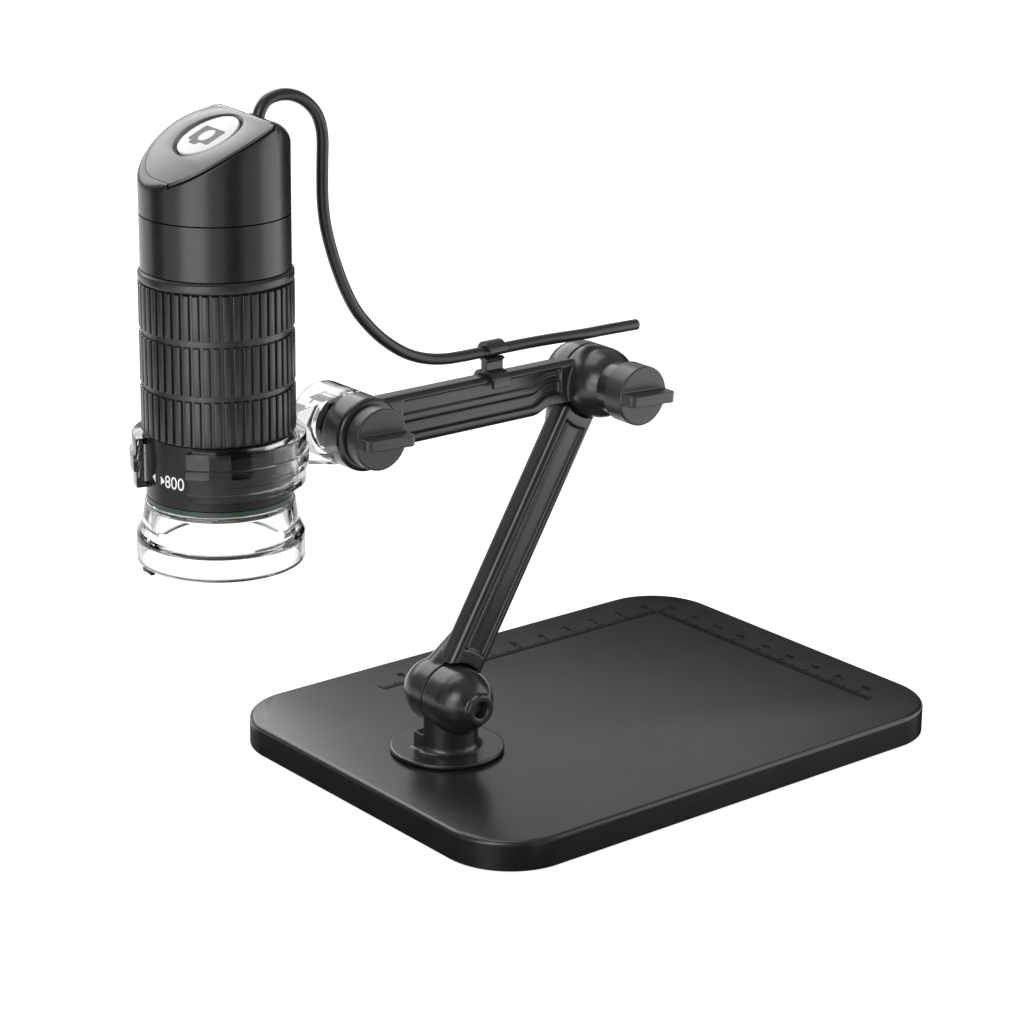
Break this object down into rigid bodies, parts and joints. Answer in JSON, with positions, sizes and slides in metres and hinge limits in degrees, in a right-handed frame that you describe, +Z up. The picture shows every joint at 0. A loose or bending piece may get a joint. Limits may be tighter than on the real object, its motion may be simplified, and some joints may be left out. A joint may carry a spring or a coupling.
{
  "type": "usb digital microscope",
  "caption": "Slant-topped USB microscope with a ribbed focus sleeve, held by a clear ring on a folding arm stand with clamp knobs and a heavy base with a centimetre scale",
  "frame": {"origin": "centre of the base plate on the table", "axes": "+X along the plate's long edge away from the microscope, +Y to the far side, -Y to the side with the knobs, +Z up"},
  "size_m": [0.2178, 0.118, 0.1871],
  "materials": {
    "charcoal_plastic": "satin moulded charcoal",
    "knob_plastic": "satin moulded charcoal",
    "housing_plastic": "satin moulded black",
    "sleeve_plastic": "satin moulded black, ribbed",
    "face_plastic": "satin grey",
    "black_plastic": "matt black",
    "white_plastic": "glossy white",
    "clear_plastic": "clear moulded plastic",
    "lens_glass": "coated glass",
    "led_resin": "pale resin",
    "circuit_board": "green solder mask",
    "sensor_chip": "dark chip",
    "grip_rubber": "anti-slip sheet",
    "soft_black": "soft black",
    "cord_jacket": "satin black jacket",
    "friction_nylon": "natural nylon",
    "ballast_steel": "plain steel plate",
    "bright_steel": "zinc plated",
    "dark_steel": "blackened steel"
  },
  "bodies": {
    "base": {"base_shell": "charcoal_plastic", "base_weight": "ballast_steel", "base_cover": "black_plastic", "base_pad": "grip_rubber", "base_screws": "bright_steel"},
    "post": {"swivel_post": "charcoal_plastic", "swivel_screw": "bright_steel", "swivel_washer": "bright_steel", "base_pivot_bolt": "dark_steel", "base_friction_washer": "friction_nylon"},
    "lower_arm": {"lower_arm": "charcoal_plastic", "elbow_bolt": "dark_steel"},
    "upper_arm": {"upper_arm": "charcoal_plastic", "elbow_washer": "friction_nylon", "head_washer": "friction_nylon", "cable_clip": "black_plastic", "usb_cable": "cord_jacket"},
    "elbow_knob": {"elbow_knob": "knob_plastic"},
    "head_knob": {"head_knob": "knob_plastic"},
    "head": {"clamp_ring": "clear_plastic", "head_bolt": "dark_steel", "rear_cap": "housing_plastic", "mid_housing": "housing_plastic", "face_plate": "face_plastic", "button_board": "circuit_board", "tact_switch": "bright_steel", "main_board": "circuit_board", "board_screws": "bright_steel", "image_sensor": "sensor_chip", "inner_tube": "black_plastic", "front_barrel": "black_plastic", "led_board": "circuit_board", "leds": "led_resin", "clear_shade": "clear_plastic", "cable_gland": "soft_black"},
    "focus_ring": {"focus_ring": "sleeve_plastic"},
    "lens_carriage": {"lens_carriage": "black_plastic", "drive_pin": "bright_steel", "front_lens": "lens_glass", "rear_lens": "lens_glass"},
    "snapshot_button": {"snapshot_button": "white_plastic"}
  },
  "joints": [
    {"name": "base_swivel", "type": "hinge", "parent": "base", "child": "post", "pos_m": [-0.0489, 0, 0.0085], "axis": [0, 0, 1], "range_deg": [-180, 180]},
    {"name": "lower_arm_tilt", "type": "hinge", "parent": "post", "child": "lower_arm", "pos_m": [-0.0489, 0, 0.0234], "axis": [0, -1, 0], "range_deg": [-35, 20]},
    {"name": "elbow_fold", "type": "hinge", "parent": "lower_arm", "child": "upper_arm", "pos_m": [-0.00309, 0, 0.10087], "axis": [0, -1, 0], "range_deg": [-110, 3]},
    {"name": "head_tilt", "type": "hinge", "parent": "upper_arm", "child": "head", "pos_m": [-0.07909, 0, 0.10087], "axis": [0, -1, 0], "range_deg": [-45, 45], "deforming": ["usb_cable"]},
    {"name": "elbow_knob_turn", "type": "hinge", "parent": "upper_arm", "child": "elbow_knob", "pos_m": [-0.00309, -0.018, 0.10087], "axis": [0, -1, 0], "range_deg": [0, 270]},
    {"name": "head_knob_turn", "type": "hinge", "parent": "upper_arm", "child": "head_knob", "pos_m": [-0.07909, -0.01, 0.10087], "axis": [0, -1, 0], "range_deg": [0, 270]},
    {"name": "focus_turn", "type": "hinge", "parent": "head", "child": "focus_ring", "pos_m": [-0.11789, 0, 0.12767], "axis": [0, 0, 1], "range_deg": [-60, 60]},
    {"name": "lens_slide", "type": "slide", "parent": "head", "child": "lens_carriage", "axis": [0, 0, 1], "range_m": [-0.006, 0.006]},
    {"name": "snapshot_press", "type": "slide", "parent": "head", "child": "snapshot_button", "axis": [0.4419, -0.0441, -0.896], "range_m": [0, 0.0006], "stiffness_N_per_m": 2500}
  ],
  "couplings": [
    {"joint": "lens_slide", "follows": "focus_turn", "m_per_rad": 0.005729}
  ]
}
